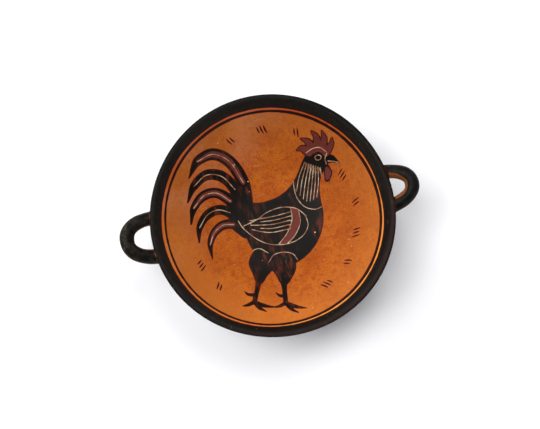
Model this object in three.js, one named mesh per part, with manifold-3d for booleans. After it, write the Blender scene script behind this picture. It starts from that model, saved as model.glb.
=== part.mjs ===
// A stemmed drinking cup, a kylix: a wide shallow bowl on a short stem and a disc foot, with two loop
// handles. The bowl and the foot are thrown, the handles are rolled and bent, and all are luted together
// before firing, so the cup is one solid.
//
// Millimetres, +Z up. The origin is the middle of the foot's underside, and the handles lie along X.

import * as THREE from "three";
import { mergeVertices } from "three/addons/utils/BufferGeometryUtils.js";
import Module from "manifold-3d";

// Bowl
const LIP_RADIUS = 100;
const LIP_HEIGHT = 80;
const BOWL_DROP = 43; // from the middle of the wall at the lip down to its middle over the stem
const BOWL_FULLNESS = 3; // the power of the wall's rise: 2 is a plain saucer, more is flatter with steep sides
const LIP_THICKNESS = 4.6;
const FLOOR_THICKNESS = 6.4;
const OUT_OF_ROUND = 0.56; // the lip was pressed slightly into three lobes while it was wet
const LOBE_ANGLE = THREE.MathUtils.degToRad(-37);

// Stem and foot
const BOWL_UNDERSIDE_RADIUS = 24; // where the bowl's underside turns down into the stem
const STEM_RADIUS = 12.5;
const STEM_HEIGHT = 19; // of its narrowest point
const FOOT_RADIUS = 42;
const FOOT_EDGE = 7; // the height of the rounded edge
const FOOT_TOP_RADIUS = 37;
const FOOT_TOP_HEIGHT = 8.2;
const REST_OUTER_RADIUS = 40; // the flat ring that the cup stands on
const REST_INNER_RADIUS = 31;
const RECESS_RADIUS = 28;
const RECESS_DEPTH = 3;

// Handles. Each was set by eye, so they differ a little, and both point slightly towards +Y.
const ROD_RADIUS = 5.85;
const ROOT_RADIUS = 7.4; // the clay smeared out where a handle joins the wall
const LOOP_START = 78; // distance of the rod's ends from the axis of the cup, inside the wall
const LOOP_SQUARENESS = 2.3; // 2 is an ellipse, more has blunter ends
const LOOP_STRAIGHT = 0.2; // the share of each branch that runs straight out before the bend
const ROOT_HEIGHT = 70; // of the rod's middle where it meets the wall
const ROOT_DISTANCE = 91.5;
const HANDLE_RISE = Math.tan(THREE.MathUtils.degToRad(17));
const HANDLE_TURN = THREE.MathUtils.degToRad(1.25);
const handles = [
  { direction: HANDLE_TURN, reach: 122.7, halfWidth: 15.4, bendStart: 84 },
  { direction: Math.PI - HANDLE_TURN, reach: 125.3, halfWidth: 15.9, bendStart: 95 },
];

// Fineness of the facets
const ROUND_SEGMENTS = 80;
const WALL_STEPS = 13;
const LIP_STEPS = 5;
const STEM_STEPS = 5;
const ROD_STEPS = 34;
const ROD_SIDES = 14;

const wasm = await Module();
wasm.setup();

function solidOf(geometry) {
  const bare = geometry.clone();
  bare.deleteAttribute("normal");
  bare.deleteAttribute("uv");
  const merged = mergeVertices(bare, 1e-3);
  const mesh = new wasm.Mesh({
    numProp: 3,
    vertProperties: merged.attributes.position.array,
    triVerts: new Uint32Array(merged.index.array),
  });
  return new wasm.Manifold(mesh);
}

function geometryOf(solid) {
  const mesh = solid.getMesh();
  const geometry = new THREE.BufferGeometry();
  geometry.setAttribute("position", new THREE.BufferAttribute(mesh.vertProperties, mesh.numProp));
  geometry.setIndex(new THREE.BufferAttribute(mesh.triVerts, 1));
  return geometry;
}

// A solid of revolution about Z from a profile of (radius, height) points that starts and ends on the axis.
function turned(profile) {
  return new THREE.LatheGeometry(profile, ROUND_SEGMENTS).rotateX(Math.PI / 2);
}

// The middle of the bowl's wall, from the axis at s = 0 to the lip at s = 1.
const MIDDLE_RADIUS = LIP_RADIUS - LIP_THICKNESS / 2;
const MIDDLE_HEIGHT = LIP_HEIGHT - LIP_THICKNESS / 2;

function wallMiddle(s) {
  const rise = BOWL_DROP * s ** BOWL_FULLNESS;
  return new THREE.Vector2(MIDDLE_RADIUS * s, MIDDLE_HEIGHT - BOWL_DROP + rise);
}

function wallSlope(s) {
  const steepness = (BOWL_FULLNESS * BOWL_DROP) / MIDDLE_RADIUS;
  return Math.atan(steepness * s ** (BOWL_FULLNESS - 1));
}

function halfThickness(s) {
  return THREE.MathUtils.lerp(FLOOR_THICKNESS, LIP_THICKNESS, s) / 2;
}

// A point on the wall: side is 1 for the inner face and -1 for the outer one.
function wallFace(s, side) {
  const slope = wallSlope(s);
  const across = new THREE.Vector2(-Math.sin(slope), Math.cos(slope));
  return wallMiddle(s).addScaledVector(across, side * halfThickness(s));
}

function steps(count, make) {
  return Array.from({ length: count + 1 }, (_, i) => make(i / count));
}

function innerFace() {
  const points = steps(WALL_STEPS, (t) => wallFace(t ** 0.75, 1));
  points[0].x = 0;
  return points;
}

// A half circle over the lip, from the inner face round to the outer one.
function lip() {
  const slope = wallSlope(1);
  const arc = steps(LIP_STEPS, (t) => {
    const angle = slope + Math.PI * (0.5 - t);
    const outwards = new THREE.Vector2(Math.cos(angle), Math.sin(angle));
    return wallMiddle(1).addScaledVector(outwards, LIP_THICKNESS / 2);
  });
  return arc.slice(1, -1);
}

function outerFace() {
  const start = BOWL_UNDERSIDE_RADIUS / MIDDLE_RADIUS;
  return steps(WALL_STEPS - 3, (t) => wallFace(THREE.MathUtils.lerp(1, start, t ** 1.25), -1));
}

// The stem is drawn in to its narrowest point by one curve and spreads into the foot by another.
function stem(top) {
  const neck = new THREE.Vector2(STEM_RADIUS, STEM_HEIGHT);
  const footTop = new THREE.Vector2(FOOT_TOP_RADIUS, FOOT_TOP_HEIGHT);
  const upper = new THREE.CubicBezierCurve(
    top,
    new THREE.Vector2(STEM_RADIUS + 5, top.y - 0.6),
    new THREE.Vector2(STEM_RADIUS, STEM_HEIGHT + 7),
    neck,
  );
  const lower = new THREE.CubicBezierCurve(
    neck,
    new THREE.Vector2(STEM_RADIUS, STEM_HEIGHT - 6),
    new THREE.Vector2(STEM_RADIUS + 7, FOOT_TOP_HEIGHT + 2.2),
    footTop,
  );
  return [...upper.getPoints(STEM_STEPS).slice(1), ...lower.getPoints(STEM_STEPS).slice(1)];
}

function foot() {
  return [
    new THREE.Vector2(FOOT_RADIUS - 1.6, FOOT_EDGE),
    new THREE.Vector2(FOOT_RADIUS - 0.3, FOOT_EDGE - 1.7),
    new THREE.Vector2(FOOT_RADIUS, FOOT_EDGE - 3.5),
    new THREE.Vector2(FOOT_RADIUS - 0.6, FOOT_EDGE - 5.6),
    new THREE.Vector2(REST_OUTER_RADIUS, 0),
    new THREE.Vector2(REST_INNER_RADIUS, 0),
    new THREE.Vector2(RECESS_RADIUS, RECESS_DEPTH),
    new THREE.Vector2(0, RECESS_DEPTH),
  ];
}

function thrownBody() {
  const outside = outerFace();
  const profile = [...innerFace(), ...lip(), ...outside, ...stem(outside.at(-1)), ...foot()];
  return solidOf(turned(profile.reverse()));
}

// Everything inside the middle of the bowl's wall, which no handle may reach.
function bowlCore() {
  const profile = steps(WALL_STEPS, wallMiddle);
  profile.push(new THREE.Vector2(MIDDLE_RADIUS, LIP_HEIGHT * 1.5));
  profile.push(new THREE.Vector2(0, LIP_HEIGHT * 1.5));
  return solidOf(turned(profile));
}

// The middle line of a handle, which rises outwards: two straight branches and half of a blunt ellipse.
class HandleLoop extends THREE.Curve {
  constructor({ reach, halfWidth, bendStart }) {
    super();
    this.bendLength = reach - ROD_RADIUS - bendStart;
    this.halfWidth = halfWidth;
    this.bendStart = bendStart;
  }

  getPoint(t, target = new THREE.Vector3()) {
    const fromTip = Math.abs(2 * t - 1);
    const alongBend = Math.min(fromTip / (1 - LOOP_STRAIGHT), 1);
    const alongBranch = Math.max((fromTip - 1) / LOOP_STRAIGHT + 1, 0);
    const power = 2 / LOOP_SQUARENESS;
    const angle = (alongBend * Math.PI) / 2;
    const bend = this.bendStart + this.bendLength * Math.max(Math.cos(angle), 0) ** power;
    const x = THREE.MathUtils.lerp(bend, LOOP_START, alongBranch);
    const y = Math.sign(t - 0.5) * this.halfWidth * Math.sin(angle) ** power;
    return target.set(x, y, ROOT_HEIGHT + (x - ROOT_DISTANCE) * HANDLE_RISE);
  }
}

// The rod is round and even, and spreads where it meets the wall just under the lip.
function rodRadius(x) {
  const joined = 1 - THREE.MathUtils.smoothstep(x, ROOT_DISTANCE - 2, LIP_RADIUS);
  return THREE.MathUtils.lerp(ROD_RADIUS, ROOT_RADIUS, joined);
}

function bentRod(curve) {
  const frames = curve.computeFrenetFrames(ROD_STEPS, false);
  const positions = [];
  for (let i = 0; i <= ROD_STEPS; i += 1) {
    const middle = curve.getPointAt(i / ROD_STEPS);
    const radius = rodRadius(middle.x);
    for (let side = 0; side < ROD_SIDES; side += 1) {
      const angle = (2 * Math.PI * side) / ROD_SIDES;
      const point = middle.clone();
      point.addScaledVector(frames.normals[i], radius * Math.cos(angle));
      point.addScaledVector(frames.binormals[i], radius * Math.sin(angle));
      positions.push(point.x, point.y, point.z);
    }
  }
  const faces = [];
  for (let i = 0; i < ROD_STEPS; i += 1) {
    for (let side = 0; side < ROD_SIDES; side += 1) {
      const a = i * ROD_SIDES + side;
      const b = i * ROD_SIDES + ((side + 1) % ROD_SIDES);
      faces.push(a, b, b + ROD_SIDES, a, b + ROD_SIDES, a + ROD_SIDES);
    }
  }
  const last = ROD_STEPS * ROD_SIDES;
  for (let side = 1; side < ROD_SIDES - 1; side += 1) {
    faces.push(0, side + 1, side);
    faces.push(last, last + side, last + side + 1);
  }
  const geometry = new THREE.BufferGeometry();
  geometry.setAttribute("position", new THREE.Float32BufferAttribute(positions, 3));
  geometry.setIndex(faces);
  return geometry;
}

function handle(sizes) {
  return solidOf(bentRod(new HandleLoop(sizes)).rotateZ(sizes.direction));
}

// The bowl was out of round by more towards the lip, and the foot stayed true.
function pressOutOfRound(geometry) {
  const position = geometry.getAttribute("position");
  for (let i = 0; i < position.count; i += 1) {
    const x = position.getX(i);
    const y = position.getY(i);
    const radius = Math.hypot(x, y);
    const lobes = Math.cos(3 * (Math.atan2(y, x) - LOBE_ANGLE));
    const stretch = 1 + (OUT_OF_ROUND * lobes * radius) / LIP_RADIUS ** 2;
    position.setXY(i, x * stretch, y * stretch);
  }
  return geometry;
}

const core = bowlCore();
let cup = thrownBody();
for (const sizes of handles) {
  cup = cup.add(handle(sizes).subtract(core));
}

const kylix = new THREE.Mesh(
  pressOutOfRound(geometryOf(cup)),
  new THREE.MeshStandardMaterial({ color: 0xb9602c, roughness: 0.55, metalness: 0 }),
);
kylix.name = "kylix";
kylix.geometry.computeVertexNormals();

const root = new THREE.Group();
root.add(kylix);

export default root;
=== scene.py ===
import math

import bmesh
import bpy
import numpy as np
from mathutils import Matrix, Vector, kdtree


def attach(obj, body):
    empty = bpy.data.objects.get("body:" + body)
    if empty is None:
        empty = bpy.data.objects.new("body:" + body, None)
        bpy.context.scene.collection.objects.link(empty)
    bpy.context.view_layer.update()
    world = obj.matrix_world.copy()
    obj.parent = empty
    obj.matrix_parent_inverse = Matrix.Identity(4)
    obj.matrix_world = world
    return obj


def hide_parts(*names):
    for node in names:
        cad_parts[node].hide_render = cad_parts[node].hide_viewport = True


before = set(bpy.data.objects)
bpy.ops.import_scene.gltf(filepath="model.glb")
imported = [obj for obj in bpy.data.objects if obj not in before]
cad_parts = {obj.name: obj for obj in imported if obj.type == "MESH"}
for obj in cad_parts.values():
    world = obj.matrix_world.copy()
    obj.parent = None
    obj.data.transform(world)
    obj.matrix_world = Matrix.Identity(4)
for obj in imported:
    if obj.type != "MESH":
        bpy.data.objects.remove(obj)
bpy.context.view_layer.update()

# The camera
# The cup stands on a table and is looked at from nearly straight above, a little from its front and
# with the handles turned, so that the picture inside shows. Distances are in metres and the lens is in
# millimetres.
VIEW_AZIMUTH = math.radians(-11.9)
VIEW_ELEVATION = math.radians(80.7)
CAMERA_DISTANCE = 0.9
CAMERA_LENS = 73.9
AIM_HEIGHT = 0.078
AIM_LEFT = 0.00215
AIM_DOWN = 0.00028

view_back = Vector((
    math.sin(VIEW_AZIMUTH) * math.cos(VIEW_ELEVATION),
    -math.cos(VIEW_AZIMUTH) * math.cos(VIEW_ELEVATION),
    math.sin(VIEW_ELEVATION),
))
view_right = Vector((math.cos(VIEW_AZIMUTH), math.sin(VIEW_AZIMUTH), 0.0))
view_up = view_back.cross(view_right)
view_away = Vector((-math.sin(VIEW_AZIMUTH), math.cos(VIEW_AZIMUTH), 0.0))

aim = Vector((0.0, 0.0, AIM_HEIGHT)) - view_right * AIM_LEFT - view_up * AIM_DOWN
camera = bpy.data.objects.new("camera", bpy.data.cameras.new("camera"))
camera.data.lens = CAMERA_LENS
camera.data.sensor_width = 36.0
camera.data.clip_start = 0.01
camera.location = aim + view_back * CAMERA_DISTANCE
camera.rotation_mode = "QUATERNION"
camera.rotation_quaternion = (-view_back).to_track_quat("-Z", "Y")
bpy.context.scene.collection.objects.link(camera)
bpy.context.scene.camera = camera
bpy.context.scene.view_settings.view_transform = "Standard"

# The light
# Large soft boxes over a white table: the main one almost overhead and a little to the left, a weaker one
# towards the back, one half-way down on the left, and low ones at both back corners and the front right.
# The room itself is dim.
ROOM_BRIGHTNESS = 0.04


def soft_box(name, tilt, turn, strength, breadth):
    """A far, broad lamp, tilted from overhead towards a direction turned from the viewer's right."""
    sideways = view_right * math.cos(math.radians(turn)) + view_away * math.sin(math.radians(turn))
    towards = sideways * math.sin(math.radians(tilt)) + Vector((0.0, 0.0, math.cos(math.radians(tilt))))
    lamp = bpy.data.objects.new(name, bpy.data.lights.new(name, "SUN"))
    lamp.data.angle = math.radians(breadth)
    lamp.data.energy = strength
    lamp.rotation_mode = "QUATERNION"
    lamp.rotation_quaternion = (-towards).to_track_quat("-Z", "Y")
    bpy.context.scene.collection.objects.link(lamp)


soft_box("top_lamp", tilt=18, turn=176, strength=1.35, breadth=28)
soft_box("second_top_lamp", tilt=24, turn=66, strength=0.95, breadth=26)
soft_box("left_lamp", tilt=38, turn=182, strength=1.2, breadth=34)
soft_box("back_left_lamp", tilt=68, turn=130, strength=1.6, breadth=44)
soft_box("back_right_lamp", tilt=60, turn=50, strength=0.5, breadth=44)
soft_box("front_right_lamp", tilt=68, turn=315, strength=0.7, breadth=44)

room = bpy.data.worlds.new("room")
room.use_nodes = True
room.node_tree.nodes["Background"].inputs["Color"].default_value = (1.0, 1.0, 1.0, 1.0)
room.node_tree.nodes["Background"].inputs["Strength"].default_value = ROOM_BRIGHTNESS
bpy.context.scene.world = room

# The table
# A sheet of smooth white paper, wide enough for every view. It is not part of the cup.


class Shade:
    """A socket of a material's nodes that can be used in ordinary arithmetic."""

    def __init__(self, tree, socket=None):
        self.tree = tree
        self.socket = socket

    def make(self, kind, settings, sockets, output=0):
        """One output of a new node, made with its settings and with values or links for its sockets."""
        node = self.tree.nodes.new(kind)
        for name, setting in settings.items():
            setattr(node, name, setting)
        for key, value in sockets.items():
            if isinstance(value, Shade):
                self.tree.links.new(value.socket, node.inputs[key])
            else:
                node.inputs[key].default_value = value
        return Shade(self.tree, node.outputs[output] if node.outputs else None)

    def maths(self, operation, *values):
        return self.make("ShaderNodeMath", {"operation": operation}, dict(enumerate(values)))

    def vector(self, operation, *values):
        return self.make("ShaderNodeVectorMath", {"operation": operation}, dict(enumerate(values)))

    def mix(self, factor, first, second):
        sockets = {0: factor, 6: first, 7: second}
        return self.make("ShaderNodeMix", {"data_type": "RGBA"}, sockets, output=2)

    def between(self, low, high):
        """0 up to low and 1 from high on, with a smooth step between; high may be the lower one."""
        settings = {"interpolation_type": "SMOOTHSTEP"}
        sockets = {0: self, 1: min(low, high), 2: max(low, high)}
        step = self.make("ShaderNodeMapRange", settings, sockets)
        return 1.0 - step if low > high else step

    def noise(self, place, scale, detail=2.0, roughness=0.5, stretch=(1.0, 1.0, 1.0)):
        sockets = {
            "Vector": self.vector("MULTIPLY", place, stretch),
            "Scale": scale,
            "Detail": detail,
            "Roughness": roughness,
        }
        return self.make("ShaderNodeTexNoise", {}, sockets)

    def __add__(self, other):
        return self.maths("ADD", self, other)

    def __sub__(self, other):
        return self.maths("SUBTRACT", self, other)

    def __rsub__(self, other):
        return self.maths("SUBTRACT", other, self)

    def __mul__(self, other):
        return self.maths("MULTIPLY", self, other)

    def __truediv__(self, other):
        return self.maths("DIVIDE", self, other)

    def __rtruediv__(self, other):
        return self.maths("DIVIDE", other, self)

    __radd__ = __add__
    __rmul__ = __mul__


def colour(red, green, blue):
    """Linear RGBA from the 0 to 255 values of a colour card."""
    shares = [value / 255 for value in (red, green, blue)]
    linear = [s / 12.92 if s <= 0.04045 else ((s + 0.055) / 1.055) ** 2.4 for s in shares]
    return (*linear, 1.0)


def new_material(name):
    material = bpy.data.materials.new(name)
    material.use_nodes = True
    material.node_tree.nodes.clear()
    return material, Shade(material.node_tree)


def finish_material(shade, surface):
    shade.make("ShaderNodeOutputMaterial", {}, {"Surface": surface})


paper, shade = new_material("white_paper")
place = shade.make("ShaderNodeTexCoord", {}, {}, output=3)
cloudy = shade.noise(place, 9.0)
paper_colour = shade.mix(cloudy, colour(240, 240, 243), colour(244, 244, 247))
finish_material(shade, shade.make("ShaderNodeBsdfPrincipled", {}, {
    "Base Color": paper_colour,
    "Roughness": 0.8,
    "Specular IOR Level": 0.1,
}))

TABLE_HALF_WIDTH = 12.0
TABLE_GAP = 0.00005
table_mesh = bpy.data.meshes.new("table")
corners = [(-1, -1), (1, -1), (1, 1), (-1, 1)]
corners = [(TABLE_HALF_WIDTH * x, TABLE_HALF_WIDTH * y, -TABLE_GAP) for x, y in corners]
table_mesh.from_pydata(corners, [], [(0, 1, 2, 3)])
table = bpy.data.objects.new("table", table_mesh)
table_mesh.materials.append(paper)
bpy.context.scene.collection.objects.link(table)

# The cup
# A shallow drinking cup of fine clay thrown on a wheel: a bowl about 5 mm thick, rounded at the lip, on a
# short stem and a disc foot luted on from the same clay. Two rolled loops are luted on under the lip.
# It was painted with a fine black slip and fired once. Sizes are in millimetres.
MM = 0.001
LIP_RADIUS = 100.0
LIP_HEIGHT = 80.0
BOWL_DROP = 43.0
BOWL_FULLNESS = 3.0
LIP_THICKNESS = 4.6
FLOOR_THICKNESS = 6.4
OUT_OF_ROUND = 0.56
LOBES = 3
LOBE_ANGLE = math.radians(-37)
UNDERSIDE_RADIUS = 24.0
STEM_RADIUS = 12.5
STEM_HEIGHT = 19.0
FOOT_RADIUS = 42.0
FOOT_EDGE = 7.0
FOOT_TOP = np.array((37.0, 8.2))
REST_OUTER_RADIUS = 40.0
REST_INNER_RADIUS = 31.0
RECESS_RADIUS = 28.0
RECESS_DEPTH = 3.0
MIDDLE_RADIUS = LIP_RADIUS - LIP_THICKNESS / 2
MIDDLE_HEIGHT = LIP_HEIGHT - LIP_THICKNESS / 2
FINE_STEP = 0.74
COARSE_STEP = 2.1
STEP_GROWTH = 0.1
INSIDE_POINTS = 900
OUTSIDE_POINTS = 600
LIP_POINTS = 60


def wall_middle(s):
    """The middle of the wall, from the cup's axis (s = 0) out to the lip (s = 1)."""
    height = MIDDLE_HEIGHT - BOWL_DROP + BOWL_DROP * s**BOWL_FULLNESS
    return np.stack([MIDDLE_RADIUS * s, height], axis=-1)


def wall_slope(s):
    return np.arctan(BOWL_FULLNESS * BOWL_DROP / MIDDLE_RADIUS * s ** (BOWL_FULLNESS - 1))


def wall_face(s, side):
    """Points of the wall's inner face (side 1) or outer face (side -1)."""
    slope = wall_slope(s)
    half = (FLOOR_THICKNESS + (LIP_THICKNESS - FLOOR_THICKNESS) * s) / 2
    across = np.stack([-np.sin(slope), np.cos(slope)], axis=-1)
    return wall_middle(s) + side * half[:, None] * across


def bezier(start, first, second, end, count=60):
    t = np.linspace(0, 1, count)[:, None]
    start, first, second, end = (np.array(point) for point in (start, first, second, end))
    return (1 - t)**3 * start + 3 * t * (1 - t)**2 * first + 3 * t**2 * (1 - t) * second + t**3 * end


def lengths_along(line):
    return np.concatenate([[0], np.cumsum(np.linalg.norm(np.diff(line, axis=0), axis=1))])


def point_at(line, stops):
    """The points of a line at given lengths along it."""
    along = lengths_along(line)
    return np.stack([np.interp(stops, along, line[:, i]) for i in range(line.shape[1])], axis=-1)


def spread(outline, first_step, last_step, growth):
    """Points along an outline whose spacing grows from one step to another, and that spacing at each."""
    whole = lengths_along(outline)[-1]
    stops = [0.0]
    steps = [first_step]
    while stops[-1] < whole:
        stops.append(stops[-1] + steps[-1])
        steps.append(min(steps[-1] + growth, last_step))
    return point_at(outline, np.array(stops) * whole / stops[-1]), steps


inside = wall_face(np.linspace(0, 1, INSIDE_POINTS), 1)
inside[0, 0] = 0.0
lip_turn = wall_slope(1.0) + math.pi * (0.5 - np.linspace(0, 1, LIP_POINTS)[1:, None])
lip = wall_middle(1.0) + LIP_THICKNESS / 2 * np.hstack([np.cos(lip_turn), np.sin(lip_turn)])
outside = wall_face(np.linspace(1, UNDERSIDE_RADIUS / MIDDLE_RADIUS, OUTSIDE_POINTS), -1)[1:]
neck = np.array((STEM_RADIUS, STEM_HEIGHT))
stem = np.vstack([
    bezier(outside[-1], (STEM_RADIUS + 5, outside[-1, 1] - 0.6), neck + (0, 7), neck)[1:],
    bezier(neck, neck - (0, 6), (STEM_RADIUS + 7, FOOT_TOP[1] + 2.2), FOOT_TOP)[1:],
])
foot_side = np.array((FOOT_RADIUS, FOOT_EDGE - 3.5))
foot = np.vstack([
    bezier(FOOT_TOP, FOOT_TOP + (3.9, -0.8), (FOOT_RADIUS + 0.6, FOOT_EDGE), foot_side)[1:],
    bezier(foot_side, foot_side - (0.3, 1.9), (REST_OUTER_RADIUS + 1.2, 0),
           (REST_OUTER_RADIUS - 0.4, 0), count=24)[1:],
    bezier((REST_INNER_RADIUS + 0.3, 0), (REST_INNER_RADIUS - 1.2, 0),
           (RECESS_RADIUS + 1.4, RECESS_DEPTH), (RECESS_RADIUS - 1, RECESS_DEPTH), count=24),
    [(0.0, RECESS_DEPTH)],
])


def turned_mesh(name, rings, steps):
    """A closed surface of revolution. Each ring has as many points as its own step asks for."""
    places = [(0.0, 0.0, rings[0][1])]
    loops = [[0]]
    for (radius, height), step in zip(rings[1:-1], steps[1:-1]):
        count = max(8, round(2 * math.pi * radius / step))
        angle = 2 * math.pi * np.arange(count) / count
        loops.append(list(range(len(places), len(places) + count)))
        places += list(zip(radius * np.cos(angle), radius * np.sin(angle), [height] * count))
    loops.append([len(places)])
    places.append((0.0, 0.0, rings[-1][1]))
    faces = []
    for inner, outer in zip(loops, loops[1:]):
        inner_sides = len(inner) if len(inner) > 1 else 0
        outer_sides = len(outer) if len(outer) > 1 else 0
        i = j = 0
        while i < inner_sides or j < outer_sides:
            a = inner[i % len(inner)]
            b = outer[j % len(outer)]
            if i == inner_sides or j < outer_sides and (j + 1) / outer_sides <= (i + 1) / inner_sides:
                faces.append((a, b, outer[(j + 1) % len(outer)]))
                j += 1
            else:
                faces.append((a, b, inner[(i + 1) % len(inner)]))
                i += 1
    mesh = bpy.data.meshes.new(name)
    mesh.from_pydata([(x * MM, y * MM, z * MM) for x, y, z in places], [], faces)
    thing = bpy.data.objects.new(name, mesh)
    bpy.context.scene.collection.objects.link(thing)
    return thing


inner_rings, inner_steps = spread(np.vstack([inside, lip]), FINE_STEP, FINE_STEP, 0.0)
outer_outline = np.vstack([lip[-1:], outside, stem, foot])
outer_rings, outer_steps = spread(outer_outline, FINE_STEP, COARSE_STEP, STEP_GROWTH)
outline = np.vstack([inner_rings, outer_rings[1:]])
kylix = turned_mesh("kylix_cup", outline, inner_steps + outer_steps[1:])

# The handles are rolled rods bent into loops that rise a little outwards. They were set by eye, so they
# differ slightly in width and reach, and each swells where its ends were smeared onto the wall. "bare" is
# how far the unpainted side of the rod reaches round it each way, in degrees.
ROD_RADIUS = 5.85
ROOT_RADIUS = 7.4
LOOP_START = 78.0
LOOP_SQUARENESS = 2.3
LOOP_STRAIGHT = 0.2
ROOT_HEIGHT = 70.0
ROOT_DISTANCE = 91.5
HANDLE_RISE = math.radians(17)
HANDLE_TURN = math.radians(1.25)
ROD_STEPS = 130
ROD_SIDES = 40
FILLET = 3.2
LOOP_POINTS = 4001
CORE_TOP = 1.5 * LIP_HEIGHT
CORE_STEP = 3.0
WELD_GAP = 0.03
RIGHT_HANDLE = {
    "direction": HANDLE_TURN,
    "reach": 122.7,
    "half_width": 15.4,
    "bend_start": 84.0,
    "bare": 67,
}
LEFT_HANDLE = {
    "direction": math.pi - HANDLE_TURN,
    "reach": 125.3,
    "half_width": 15.9,
    "bend_start": 95.0,
    "bare": 36,
}


def turn_about_axis(places, angle):
    x, y, z = places.T
    turned_x = x * math.cos(angle) - y * math.sin(angle)
    turned_y = x * math.sin(angle) + y * math.cos(angle)
    return np.stack([turned_x, turned_y, z], axis=-1)


def loop_line(handle):
    """The middle line of a handle at even steps, as it lies before it is turned to its place."""
    share = np.linspace(-1, 1, LOOP_POINTS)
    from_tip = np.abs(share)
    along_bend = np.minimum(from_tip / (1 - LOOP_STRAIGHT), 1) * math.pi / 2
    along_branch = np.maximum((from_tip - 1) / LOOP_STRAIGHT + 1, 0)
    power = 2 / LOOP_SQUARENESS
    bend_length = handle["reach"] - ROD_RADIUS - handle["bend_start"]
    bend = handle["bend_start"] + bend_length * np.maximum(np.cos(along_bend), 0) ** power
    x = bend + (LOOP_START - bend) * along_branch
    y = np.sign(share) * handle["half_width"] * np.sin(along_bend) ** power
    line = np.stack([x, y, ROOT_HEIGHT + (x - ROOT_DISTANCE) * math.tan(HANDLE_RISE)], axis=-1)
    return point_at(line, np.linspace(0, lengths_along(line)[-1], ROD_STEPS + 1))


def loop_sides(line):
    """The direction square to a handle's plane, and at each point of its line the one towards its inside."""
    upward = np.array((-math.sin(HANDLE_RISE), 0.0, math.cos(HANDLE_RISE)))
    inward = np.cross(upward, np.gradient(line, axis=0))
    return upward, inward / np.linalg.norm(inward, axis=1)[:, None]


def smooth_step(value, low, high):
    share = np.clip((value - low) / (high - low), 0, 1)
    return share**2 * (3 - 2 * share)


def rod_mesh(handle):
    """A rod along a handle's line, rolled by hand, so not of one thickness, and swelling near the wall."""
    line = loop_line(handle)
    upward, inward = loop_sides(line)
    along = np.linspace(0, 1, ROD_STEPS + 1)
    radius = ROOT_RADIUS + (ROD_RADIUS - ROOT_RADIUS) * smooth_step(line[:, 0], ROOT_DISTANCE - 2, LIP_RADIUS)
    radius += 0.12 * np.sin(19 * along + handle["reach"]) + 0.08 * np.sin(43 * along)
    around = 2 * math.pi * np.arange(ROD_SIDES) / ROD_SIDES
    spoke = np.cos(around)[None, :, None] * inward[:, None] + np.sin(around)[None, :, None] * upward
    places = line[:, None] + radius[:, None, None] * spoke
    from_axis = np.hypot(places[..., 0], places[..., 1])
    wall_height = np.interp(from_axis, outside[::-1, 0], outside[::-1, 1])
    wall_gap = (wall_height - places[..., 2]) * np.cos(wall_slope(np.clip(from_axis / MIDDLE_RADIUS, 0, 1)))
    wall_gap = np.maximum(wall_gap, from_axis - outside[0, 0] + 1)
    swell = np.clip(FILLET - np.maximum(wall_gap, 0), 0, FILLET) ** 2 / (2 * FILLET)
    places = turn_about_axis((places + swell[..., None] * spoke).reshape(-1, 3), handle["direction"])
    faces = []
    for i in range(ROD_STEPS):
        for side in range(ROD_SIDES):
            a = i * ROD_SIDES + side
            b = i * ROD_SIDES + (side + 1) % ROD_SIDES
            faces.append((a, b, b + ROD_SIDES, a + ROD_SIDES))
    last = ROD_STEPS * ROD_SIDES
    faces.append(tuple(range(ROD_SIDES - 1, -1, -1)))
    faces.append(tuple(range(last, last + ROD_SIDES)))
    mesh = bpy.data.meshes.new("rod")
    mesh.from_pydata([tuple(place * MM) for place in places], [], faces)
    rod = bpy.data.objects.new("rod", mesh)
    bpy.context.scene.collection.objects.link(rod)
    return rod


def combine(thing, other, operation):
    """Joins other to thing, or cuts it out of thing."""
    modifier = thing.modifiers.new(operation, "BOOLEAN")
    modifier.operation = operation
    modifier.object = other
    modifier.solver = "MANIFOLD"
    made = bpy.data.meshes.new_from_object(thing.evaluated_get(bpy.context.evaluated_depsgraph_get()))
    thing.modifiers.clear()
    thing.data = made


# The rods end inside the wall: what would stand out into the bowl is cut off them with a core.
core_outline = np.vstack([
    [(0.0, CORE_TOP), (MIDDLE_RADIUS, CORE_TOP)],
    wall_middle(np.linspace(1, 0, 40)),
])
core = turned_mesh("core", core_outline, [CORE_STEP] * len(core_outline))
for handle in (RIGHT_HANDLE, LEFT_HANDLE):
    rod = rod_mesh(handle)
    combine(rod, core, "DIFFERENCE")
    combine(kylix, rod, "UNION")
    bpy.data.objects.remove(rod)
bpy.data.objects.remove(core)
joined = bmesh.new()
joined.from_mesh(kylix.data)
bmesh.ops.remove_doubles(joined, verts=joined.verts, dist=WELD_GAP * MM)
bmesh.ops.triangulate(joined, faces=joined.faces)
joined.to_mesh(kylix.data)
joined.free()
points = np.empty(3 * len(kylix.data.vertices))
kylix.data.vertices.foreach_get("co", points)
points = points.reshape(-1, 3) / MM
radius = np.hypot(points[:, 0], points[:, 1])
angle = np.arctan2(points[:, 1], points[:, 0])

# The painting is kept as distances at every point: how far it lies outside the nearest edge of the black
# slip, the nearest scratched line and the nearest patch of purple. The clay's shader draws their edges.
# Nothing shows farther than NEAR from an edge, so longer distances are cut off there.
NEAR = 3.0


def smooth_line(handed, closed=False, count=8):
    """A smooth line through given points."""
    path = np.array(handed, float)
    if closed:
        path = np.vstack([path[-1:], path, path[:2]])
    else:
        path = np.vstack([2 * path[0] - path[1], path, 2 * path[-1] - path[-2]])
    t = np.linspace(0, 1, count, endpoint=False)[:, None]
    drawn = []
    for a, b, c, d in zip(path, path[1:], path[2:], path[3:]):
        drawn.append((
            2 * b + (c - a) * t + (2 * a - 5 * b + 4 * c - d) * t**2 + (3 * b - a - 3 * c + d) * t**3
        ) / 2)
    return np.vstack([*drawn, path[-2:-1]])


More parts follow.
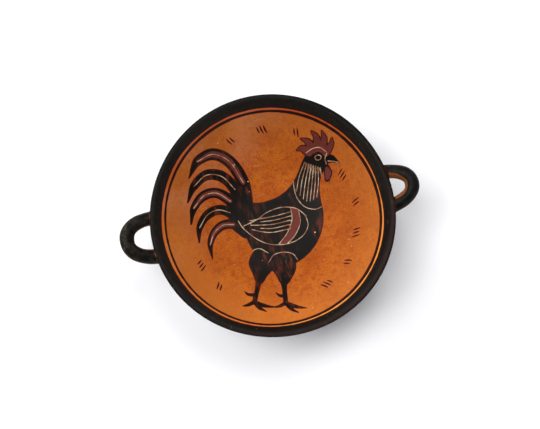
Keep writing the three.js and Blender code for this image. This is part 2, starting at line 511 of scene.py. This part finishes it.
def distance_to(path, spots):
    """For each spot, its distance to a path, the side it lies on and the share of the path passed."""
    distance = np.full(len(spots), 1e6)
    side = np.zeros(len(spots))
    share = np.zeros(len(spots))
    for i, (start, end) in enumerate(zip(path, path[1:])):
        step = end - start
        offset = spots - start
        t = np.clip(offset @ step / (step @ step + 1e-9), 0, 1)
        away = np.linalg.norm(offset - t[:, None] * step, axis=1)
        closer = away < distance
        distance[closer] = away[closer]
        side[closer] = np.sign(step[0] * offset[closer, 1] - step[1] * offset[closer, 0])
        share[closer] = (i + t[closer]) / (len(path) - 1)
    return distance, side, share


class Brush:
    """Gathers painted shapes as the distance from each spot to the nearest painted edge."""

    def __init__(self, spots):
        self.spots = spots
        self.edge = np.full(len(spots), NEAR)
        self.line_gap = np.full(len(spots), NEAR)
        self.line_side = np.full(len(spots), NEAR)

    def near(self, path, reach):
        low = path.min(axis=0) - reach
        high = path.max(axis=0) + reach
        return np.nonzero(((self.spots > low) & (self.spots < high)).all(axis=1))[0]

    def fill(self, handed):
        """A filled shape within a closed smooth line."""
        path = smooth_line(handed, closed=True)
        found = self.near(path, NEAR)
        spots = self.spots[found]
        distance = distance_to(path, spots)[0]
        within = np.zeros(len(spots), bool)
        for start, end in zip(path, path[1:]):
            crosses = (start[1] > spots[:, 1]) != (end[1] > spots[:, 1])
            meeting = (end[0] - start[0]) * (spots[:, 1] - start[1]) / (end[1] - start[1] + 1e-9) + start[0]
            within ^= crosses & (spots[:, 0] < meeting)
        self.edge[found] = np.minimum(self.edge[found], np.where(within, -distance, distance))

    def stroke(self, handed, half_widths):
        """A brush stroke along a smooth line, its half width changing on the way."""
        path = smooth_line(handed)
        found = self.near(path, NEAR + max(half_widths))
        distance, _, share = distance_to(path, self.spots[found])
        half = np.interp(share, np.linspace(0, 1, len(half_widths)), half_widths)
        self.edge[found] = np.minimum(self.edge[found], distance - half)

    def scratch(self, *handed):
        """A fine line drawn with a point."""
        path = smooth_line(handed)
        found = self.near(path, NEAR)
        distance, side, _ = distance_to(path, self.spots[found])
        closer = distance < self.line_gap[found]
        self.line_gap[found[closer]] = distance[closer]
        self.line_side[found[closer]] = (distance * side)[closer]


PICTURE_MIDDLE = (0.0, -0.5)
FACE_MARGIN = 0.3
OFF_PICTURE = 1000.0
on_inside = np.abs(points[:, 2] - np.interp(radius, inside[:, 0], inside[:, 1])) < FACE_MARGIN
spots = np.stack([points @ np.array(view_right), points @ np.array(view_away)], axis=-1) - PICTURE_MIDDLE
spots[~on_inside] = OFF_PICTURE
black = Brush(spots)
purple = Brush(spots)

# The picture is a standing cock with scratched detail and touches of purple. Body and head come first.
black.fill([
    (36, 60), (30, 59), (25, 51), (21, 41), (15, 31), (6, 23), (-6, 18), (-17, 17), (-27, 20),
    (-31, 14), (-28, 4), (-24, -8), (-19, -20), (-10, -31), (2, -37), (14, -37), (26, -31),
    (36, -20), (42, -6), (43, 8), (41, 20), (40, 30), (42, 40), (46, 46), (46, 54), (42, 59),
])
black.stroke([(43, 52), (50, 51.5), (56.5, 47.5)], [4.6, 3.0, 0.2])
black.stroke([(45, 47), (47, 41), (46.5, 36)], [2.2, 3.6, 2.6])
purple.stroke([(46, 44.5), (47, 41), (46.6, 37)], [1.4, 2.7, 1.8])
for tooth in (
    [(31, 58), (25, 61), (20.5, 60)],
    [(34, 60), (29.5, 66), (24, 68.5)],
    [(38, 61), (36.5, 69), (32.5, 73.5)],
    [(42, 60), (43, 67.5), (41, 73)],
    [(45, 57), (49, 62.5), (49.5, 67)],
):
    black.stroke(tooth, [4.2, 3.0, 1.0])
    purple.stroke(tooth, [3.2, 2.2, 0.4])
black.scratch(*[(38.5 + 2.6 * math.cos(a), 53.5 + 2 * math.sin(a)) for a in np.linspace(0, 2 * math.pi, 13)])
black.scratch((45.6, 56), (44.2, 52), (45.4, 48.2))
black.scratch((47, 50.2), (51, 49.6), (55, 48.4))
black.scratch((28.5, 57.8), (34, 60.8), (40, 61), (45, 57.6))

# Neck feathers, wing and thighs.
black.scratch((17.5, 35), (19, 26), (22, 19), (28, 13), (36, 11), (42, 13))
for s in np.linspace(0, 1, 8):
    top = np.array((27 + 13.5 * s, 50 - 5 * s))
    tip = np.array((20.5 + 20 * s, 31 - 13 * math.sin(math.pi * min(0.75 * s + 0.1, 1))))
    black.scratch(top, (top + tip) / 2 + (2.4 * s - 1.2, 0), tip)
black.scratch((28, 6), (20, 12), (8, 13), (-4, 9), (-14, 2), (-24, -3))
black.scratch((28, 6), (30, -3), (25, -12), (14, -18), (0, -19), (-12, -15), (-24, -6), (-29, 1))
black.scratch((22, 10.6), (23.5, 0), (19, -11), (12.4, -18.2))
black.scratch((15.5, 12.6), (16.5, 2), (12.5, -9), (5, -19))
purple.fill([
    (21.5, 10.3), (22.8, 0), (18.4, -11), (12, -17.8), (6.5, -18.2), (13.4, -9), (17.3, 2), (16.2, 12),
])
for k, s in enumerate(np.linspace(0, 1, 5)):
    barbs = [(15.4 - 0.6 * s, 9.2 - 14.5 * s), (2 - 2 * s, 5.5 - 14 * s),
             (-10, 3.2 - 11 * s), (-19 + 2 * s, 1.4 - 7.6 * s)]
    black.scratch(*barbs[:4 - k % 2])
black.fill([(2, -30), (16, -30), (20, -38), (17, -47), (12, -54), (7, -53), (3, -46), (-2, -38)])
black.fill([(-14, -24), (0, -30), (2, -38), (-4, -46), (-9, -53), (-14, -51), (-17, -44), (-20, -34)])
black.scratch((21, -32), (17, -27), (9, -25.5), (1, -28), (-3, -34))
black.scratch((-4, -26), (-11, -22.5), (-17, -24.5), (-21, -30))

# Shanks, toes and spurs.
for knee, lean in ((np.array((9.5, -51)), 1.5), (np.array((-11.5, -50)), -3.5)):
    ankle = knee + (lean, -19)
    black.stroke([knee, knee + (0.4 * lean, -9), ankle], [2.7, 2.0, 2.1])
    black.stroke([ankle, ankle + (8, -3.2), ankle + (17, -4.6)], [1.9, 1.8, 0.5])
    black.stroke([ankle, ankle + (4.5, -5.2), ankle + (10, -8.4)], [1.9, 1.7, 0.5])
    black.stroke([ankle, ankle + (-5, -2.6), ankle + (-9.5, -3.6)], [1.9, 1.5, 0.5])
    black.stroke([ankle + (-0.25 * lean, 6), ankle + (-5, 6.6), ankle + (-8.5, 9.5)], [1.7, 1.3, 0.3])

# Tail feathers, every second one touched with purple.
for i, (feather, widths) in enumerate((
    ([(-22, 14), (-25, 34), (-36, 50), (-50, 55), (-63, 48), (-70, 34)], [6, 5.4, 5.2, 4.6, 3.4, 0.6]),
    ([(-24, 10), (-32, 28), (-43, 38), (-56, 38), (-66, 28), (-71, 14)], [6, 5, 4.8, 4.2, 3.2, 0.6]),
    ([(-25, 4), (-36, 18), (-47, 24), (-58, 21), (-66, 10), (-68, -4)], [6, 4.8, 4.4, 4, 3, 0.6]),
    ([(-24, -2), (-36, 8), (-46, 10), (-55, 5), (-61, -6), (-61, -19)], [6, 4.6, 4.2, 3.8, 2.8, 0.6]),
    ([(-22, -8), (-33, -2), (-42, -3), (-49, -10), (-52, -20), (-50, -32)], [6, 4.4, 4, 3.4, 2.4, 0.6]),
)):
    black.stroke(feather, widths)
    black.scratch(*feather[1:-1])
    if i % 2 == 0:
        purple.stroke(feather[1:-1], [0.35 * widths[1], 0.5 * widths[2], 0.5 * widths[3], 0.3 * widths[4]])

# Small slanted dabs round the edge, two or three at a time.
DAB_GAP = 3.0
DAB_LEAN = 0.45
DAB_HALF_WIDTHS = [0.4, 0.7, 0.4]
for i, (degrees, distance) in enumerate((
    (118, 75), (97, 76), (75, 76), (33, 70), (12, 71), (-9, 70), (-30, 71), (-50, 70), (-128, 71), (-147, 70),
)):
    outward = np.array((math.cos(math.radians(degrees)), math.sin(math.radians(degrees))))
    sideways = np.array((-outward[1], outward[0]))
    dabs = 2 + i % 2
    for k in range(dabs):
        middle = distance * outward + (k - (dabs - 1) / 2) * DAB_GAP * sideways
        long_way = (outward + DAB_LEAN * sideways) * (2.2 + 0.35 * ((i + k) % 3))
        dab = [middle - long_way, middle + 0.2 * sideways, middle + long_way]
        black.stroke(dab, DAB_HALF_WIDTHS)

# Bands: the picture's frame, then the lip and the whole outside but for one thin line and the foot's edge.
# They were brushed on as the wheel turned, so they stray a little and the frame is thicker on one side.
FRAME_RADIUS = 88.5
FRAME_HALF_WIDTH = 0.95
FRAME_UNEVENNESS = 0.18
FRAME_THICK_SIDE = math.radians(10)
BAND_RADIUS = 90.75
BARE_LINE_RADIUS = 54.0
BARE_LINE_WIDTH = 1.6
FOOT_BARE_DROP = 0.4
OUTLINE_STEP = 0.1
fine_outline = point_at(outline, np.arange(0, lengths_along(outline)[-1], OUTLINE_STEP))
tree = kdtree.KDTree(len(fine_outline))
for i, (r, z) in enumerate(fine_outline):
    tree.insert((r, z, 0.0), i)
tree.balance()
nearest = [tree.find((r, z, 0.0)) for r, z in zip(radius, points[:, 2])]
along = np.array([OUTLINE_STEP * index for _, index, _ in nearest])
off_wall = np.array([gap for _, _, gap in nearest])


def first_length(reached):
    """The length along the outline at which it first meets a condition."""
    return OUTLINE_STEP * np.argmax(reached)


def strayed(*places):
    """How far the brush strayed round a ring, given as directions and breadths in degrees, and amounts."""
    total = np.zeros(len(spots))
    for direction, breadth, amount in places:
        turn = np.degrees(spot_angle) - direction
        total += amount * np.exp(-(((turn + 180) % 360 - 180) / breadth) ** 2)
    return total


from_middle = np.linalg.norm(spots, axis=1)
spot_angle = np.arctan2(spots[:, 1], spots[:, 0])
frame_shift = strayed((195, 24, -0.7), (260, 22, 0.6), (143, 16, 0.3), (330, 24, 0.2))
frame_gap = np.abs(from_middle - FRAME_RADIUS - frame_shift)
frame_gap -= FRAME_HALF_WIDTH + strayed((135, 25, 0.14), (310, 20, 0.08), (355, 16, -0.15), (95, 16, -0.12))
frame_gap -= FRAME_UNEVENNESS * np.cos(spot_angle - FRAME_THICK_SIDE)
band_shift = strayed((14, 14, -0.5), (70, 40, -0.25), (150, 14, 0.6), (245, 18, 0.35), (288, 14, -0.4))
band_gap = BAND_RADIUS - from_middle + band_shift
edge = np.minimum(black.edge, np.minimum(frame_gap, band_gap))
below_lip = np.arange(len(fine_outline)) > np.argmax(fine_outline[:, 0])
bare_line = first_length(below_lip & (fine_outline[:, 0] < BARE_LINE_RADIUS)) + BARE_LINE_WIDTH / 2
foot_edge = first_length(below_lip & (fine_outline[:, 1] < FOOT_TOP[1] - FOOT_BARE_DROP))
outside_edge = np.maximum(BARE_LINE_WIDTH / 2 - np.abs(along - bare_line), along - foot_edge)
edge = np.where(on_inside, edge, outside_edge)

# Handles: black, but for the side of each loop that faces its opening and a little short of the wall.
# The edge of the bare side wanders, and the bare side is wider towards one end of the loop. A point belongs
# to a handle if it is off the wall's outline by more than HANDLE_GAP and outside the radius HANDLE_ZONE.
JOINT_SLIP = 0.9
HANDLE_GAP = 0.15
HANDLE_ZONE = 85
on_handle = (off_wall > HANDLE_GAP) & (radius > HANDLE_ZONE)
for handle in (RIGHT_HANDLE, LEFT_HANDLE):
    line = loop_line(handle)
    upward, inward = loop_sides(line)
    found = np.nonzero(on_handle & (np.cos(angle - handle["direction"]) > 0))[0]
    own = turn_about_axis(points[found], -handle["direction"])
    index = np.argmin(np.linalg.norm(own[:, None] - line[None], axis=2), axis=1)
    offset = own - line[index]
    turn = np.arctan2(offset @ upward, (offset * inward[index]).sum(axis=1))
    wander = 3 * np.sin(0.11 * index + handle["reach"]) + 2 * np.sin(0.31 * index)
    wander += 16 * smooth_step(index, 0.55 * ROD_STEPS, 0.85 * ROD_STEPS) - 5
    bare = np.radians(handle["bare"] + wander) - np.abs(turn)
    edge[found] = np.minimum(bare * ROD_RADIUS, off_wall[found] - JOINT_SLIP)

# The slip covers the joints all the way, where the wall and the handles meet, but it is thin along them.
JOINT_WEAR = 1.2
ends = np.empty(2 * len(kylix.data.edges), int)
kylix.data.edges.foreach_get("vertices", ends)
ends = ends.reshape(-1, 2)
crossing = ends[on_handle[ends[:, 0]] != on_handle[ends[:, 1]]]
joint_points = np.unique(np.where(on_handle[crossing[:, 0]], crossing[:, 1], crossing[:, 0]))
edge[joint_points] = np.maximum(edge[joint_points], -JOINT_SLIP)
tree = kdtree.KDTree(len(joint_points))
for i, index in enumerate(joint_points):
    tree.insert(points[index], i)
tree.balance()
from_joint = np.array([tree.find(place)[2] if r > HANDLE_ZONE else NEAR for place, r in zip(points, radius)])
thin = 1 - smooth_step(from_joint, 0.0, JOINT_WEAR)

# The fired cup is not quite round: it is pressed very slightly into three lobes.
press = 1 + OUT_OF_ROUND * np.cos(LOBES * (angle - LOBE_ANGLE)) * radius / LIP_RADIUS**2
places = np.stack([points[:, 0] * press, points[:, 1] * press, points[:, 2]], axis=-1)
kylix.data.vertices.foreach_set("co", (places * MM).ravel())
kylix.data.update()
kylix.data.shade_smooth()
for name, values in (
    ("slip", edge),
    ("line_side", black.line_side),
    ("line_gap", black.line_gap),
    ("red", purple.edge),
    ("thin", thin),
    ("outside", np.where(on_inside, 0.0, 1.0)),
):
    attribute = kylix.data.attributes.new(name, "FLOAT", "POINT")
    attribute.data.foreach_set("value", np.clip(values, -NEAR, NEAR))

# Clay, slip and purple are one material. The clay is fine and orange with darker flecks. The slip is a thin
# dark layer with a low sheen, brushed on, and shows brown where it is thin and along its edges.
clay, shade = new_material("slipped_clay")
place = shade.make("ShaderNodeTexCoord", {}, {}, output=3)
level_place = shade.vector("MULTIPLY", place, (1.0, 1.0, 0.0))
from_axis = shade.make("ShaderNodeVectorMath", {"operation": "LENGTH"}, {0: level_place}, output=1) / MM


def kept(name):
    """A value that was kept at the points of the mesh."""
    return shade.make("ShaderNodeAttribute", {"attribute_name": name}, {}, output=2)


def specks(spacing, size, share):
    """Round specks of a size in millimetres, in a share of the cells of a given spacing in the clay."""
    cells = {"Vector": place, "Scale": 1 / (spacing * MM)}
    distance = shade.make("ShaderNodeTexVoronoi", {}, cells)
    chance = shade.make("ShaderNodeTexVoronoi", {}, cells, output=1)
    red = shade.make("ShaderNodeSeparateColor", {}, {0: chance})
    green = shade.make("ShaderNodeSeparateColor", {}, {0: chance}, output=1)
    reach = (green * 0.7 + 0.5) * (size / spacing)
    inside_speck = (distance / reach).between(1.1, 0.7)
    return inside_speck * red.maths("LESS_THAN", red, share)


place_across = shade.make("ShaderNodeSeparateXYZ", {}, {0: place})
place_away = shade.make("ShaderNodeSeparateXYZ", {}, {0: place}, output=1)
height = shade.make("ShaderNodeSeparateXYZ", {}, {0: place}, output=2)
front_right = place_across - place_away

# The bare clay. It is paler towards the lip, a painted light and sheen, and brown on the handles' bare sides.
# The ring between the frame and the lip's band is redder at the back, and paler at the front right, a painted
# light.
wobble = (shade.noise(place, 150.0) - 0.5) * 0.55
slip_edge = kept("slip") + wobble
slip_cover = slip_edge.between(0.15, -0.15)
clouds = shade.noise(place, 40.0)
mottle = shade.noise(place, 230.0, detail=3.0)
flecks = shade.noise(place, 760.0, roughness=0.6)
ground = shade.mix(clouds.between(0.3, 0.7), colour(156, 75, 17), colour(172, 90, 24))
ground = shade.mix(mottle.between(0.46, 0.72) * 0.75, ground, colour(142, 60, 16))
ground = shade.mix(flecks.between(0.5, 0.72) * 0.85, ground, colour(122, 48, 15))
ground = shade.mix(slip_edge.between(1.0, 0.1) * 0.35, ground, colour(176, 56, 18))
ground = shade.mix(specks(4.0, 0.4, 0.6) * 0.7, ground, colour(96, 40, 16))
# Paler towards the lip: painted light and sheen.
ground = shade.mix(from_axis.between(52.0, 92.0) * 0.28, ground, colour(200, 126, 62))
# The bowl's front left is lighter: painted light.
front_left_painted_light = (place_away + place_across).between(-0.02, -0.1) * from_axis.between(50.0, 80.0)
ground = shade.mix(front_left_painted_light * 0.3, ground, colour(204, 116, 46))
on_ring = from_axis.between(88.4, 89.2)
ring_redness = place_away.between(-0.03, 0.06) * 0.38 + 0.2
ground = shade.mix(on_ring * ring_redness, ground, colour(190, 64, 30))
# The ring is paler at the front and front right: painted light.
ring_painted_light = front_right.between(0.0, 0.12) * 0.36 + place_away.between(0.08, -0.02) * 0.24
ground = shade.mix(on_ring * ring_painted_light, ground, colour(240, 156, 68))
ring_rim = slip_edge.between(0.5, 0.1) * from_axis.between(89.5, 90.0) * place_away.between(0.07, 0.0)
ring_rim = ring_rim * front_right.between(0.11, 0.02)
ground = shade.mix(ring_rim * 0.6, ground, colour(186, 48, 18))
ground = shade.mix(from_axis.between(98.0, 101.0) * 0.9, ground, colour(94, 53, 29))
# A painted sheen at the back left, mixed in with fine pale scratches all over.
painted_sheen = shade.noise(place, 26.0).between(0.36, 0.7) * (place_away - place_across).between(0.03, 0.11)
hair_lines = shade.noise(place, 620.0, stretch=(0.12, 1.0, 1.0)).between(0.66, 0.76)
ground = shade.mix(painted_sheen * 0.2 + hair_lines * 0.24, ground, colour(204, 150, 122))

# The slip. On the lip's band it is darker at the front, a painted shade, and its outer half is lighter and
# browner at the front right, a painted sheen. Where it was brushed over the picture it has brown streaks.
brushing = shade.noise(place, 300.0, detail=3.0, stretch=(1.0, 0.2, 1.0))
thin_patch = shade.noise(place, 45.0).between(0.42, 0.6)
cloud_middles = clouds.between(0.45, 0.6)
scratchy = shade.noise(place, 520.0, detail=3.0, stretch=(1.0, 0.25, 1.0)).between(0.62, 0.76)
scuffs = scratchy * cloud_middles
band_slip = shade.mix(mottle.between(0.3, 0.7), colour(27, 27, 25), colour(34, 31, 28))
# The lip's outer half is lighter and browner at the front right: a painted sheen.
lip_painted_sheen = front_right.between(0.03, 0.07) * from_axis.between(94.6, 98.0)
band_slip = shade.mix(lip_painted_sheen * 0.85, band_slip, colour(45, 32, 28))
# The band's inner part is darker at the front: painted shade.
front_painted_shade = (place_across * 0.5 - place_away).between(0.02, 0.075) * from_axis.between(97.5, 92.8)
band_slip = shade.mix(front_painted_shade * 0.8, band_slip, colour(13, 12, 11))
# The lip's outermost edge is dark reddish brown all round: thin slip, darkened further as painted shade.
band_slip = shade.mix(from_axis.between(98.7, 99.6) * 0.85, band_slip, colour(22, 12, 11))
# The outer lip is darker at the right and back right: painted shade.
lip_painted_shade = (place_across * 0.87 + place_away * 0.5).between(0.076, 0.092) * from_axis.between(96.0, 98.0)
band_slip = shade.mix(lip_painted_shade * 0.7, band_slip, colour(9, 6, 6))
picture_slip = shade.mix(brushing.between(0.42, 0.68) * thin_patch, colour(17, 14, 12), colour(80, 35, 21))

# Outside it went on with a broad brush as the wheel turned, so it is plainer there, with faint rings.
across_rings = shade.make("ShaderNodeCombineXYZ", {}, {0: from_axis * MM + clouds * 0.0015, 2: height})
rings = shade.noise(across_rings, 450.0).between(0.4, 0.66) * thin_patch
outside_slip = shade.mix(rings, colour(24, 22, 20), colour(46, 30, 23))
picture_slip = shade.mix(kept("outside"), picture_slip, outside_slip)

# On the handles it has brown streaks, and the one at the right is darker, a painted shade.
handle_slip = shade.mix(mottle.between(0.36, 0.66), colour(13, 12, 10), colour(31, 29, 24))
streaks = brushing.between(0.5, 0.7) * cloud_middles
handle_slip = shade.mix(streaks * 0.5, handle_slip, colour(70, 50, 28))
# The handle at the right is darker: painted shade.
handle_slip = shade.mix(place_across.between(0.07, 0.1) * 0.6, handle_slip, colour(8, 8, 7))

# All of it together, with scuffs, wear on the left handle's tip and along the joints, and brown edges.
slip_colour = shade.mix(from_axis.between(91.0, 85.0), band_slip, picture_slip)
slip_colour = shade.mix(from_axis.between(100.6, 101.4), slip_colour, handle_slip)
slip_colour = shade.mix(scuffs * 0.35, slip_colour, colour(112, 90, 74))
worn = scuffs + flecks.between(0.5, 0.7) * mottle.between(0.4, 0.6)
worn = worn * from_axis.between(116.5, 122.5) * place_across.between(0.0, -0.01)
slip_colour = shade.mix(worn * 0.5, slip_colour, colour(112, 98, 70))
slip_colour = shade.mix(slip_edge.between(-1.8, -0.2) * 0.6, slip_colour, colour(44, 22, 16))
left_wear = place_across.between(0.0, -0.02) * 0.6 + 0.3
worn_joint = kept("thin").between(0.3, 1.0) * mottle.between(0.35, 0.6) * left_wear
slip_colour = shade.mix(worn_joint, slip_colour, colour(124, 68, 34))

# Purple is laid over the slip, and the lines are scratched through both into the clay.
purple_cover = (kept("red") + wobble * 0.5).between(0.12, -0.12)
slip_colour = shade.mix(purple_cover * (mottle * 0.9 + 0.5), slip_colour, colour(100, 46, 40))
line_side = kept("line_side")
scratched = line_side.maths("ABSOLUTE", line_side).between(0.4, 0.2) * kept("line_gap").between(0.85, 0.7)
line_shade = shade.noise(place, 190.0).between(0.35, 0.65)
line_colour = shade.mix(line_shade, colour(140, 92, 66), colour(194, 166, 136))
line_cover = scratched * shade.noise(place, 420.0).between(0.12, 0.36)
slip_colour = shade.mix(line_cover, slip_colour, line_colour)
surface_colour = shade.mix(slip_cover, ground, slip_colour)
pale_specks = specks(8.0, 0.6, 0.45) * from_axis.between(86.0, 84.0)
surface_colour = shade.mix(pale_specks * 0.85, surface_colour, colour(214, 180, 132))
lip_edge = from_axis.between(95.0, 97.0) * from_axis.between(101.2, 100.4)
roughness = shade.make("ShaderNodeMix", {"data_type": "FLOAT"}, {0: slip_cover, 2: 0.6, 3: 0.42})
roughness = roughness.maths("MAXIMUM", roughness, lip_edge * 0.9)
bump = shade.make("ShaderNodeBump", {}, {"Height": flecks, "Strength": 0.3, "Distance": 0.0001})
finish_material(shade, shade.make("ShaderNodeBsdfPrincipled", {}, {
    "Base Color": surface_colour,
    "Roughness": roughness,
    "Specular IOR Level": 0.06,
    "Normal": bump,
}))
kylix.data.materials.clear()
kylix.data.materials.append(clay)
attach(kylix, "root")
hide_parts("kylix")
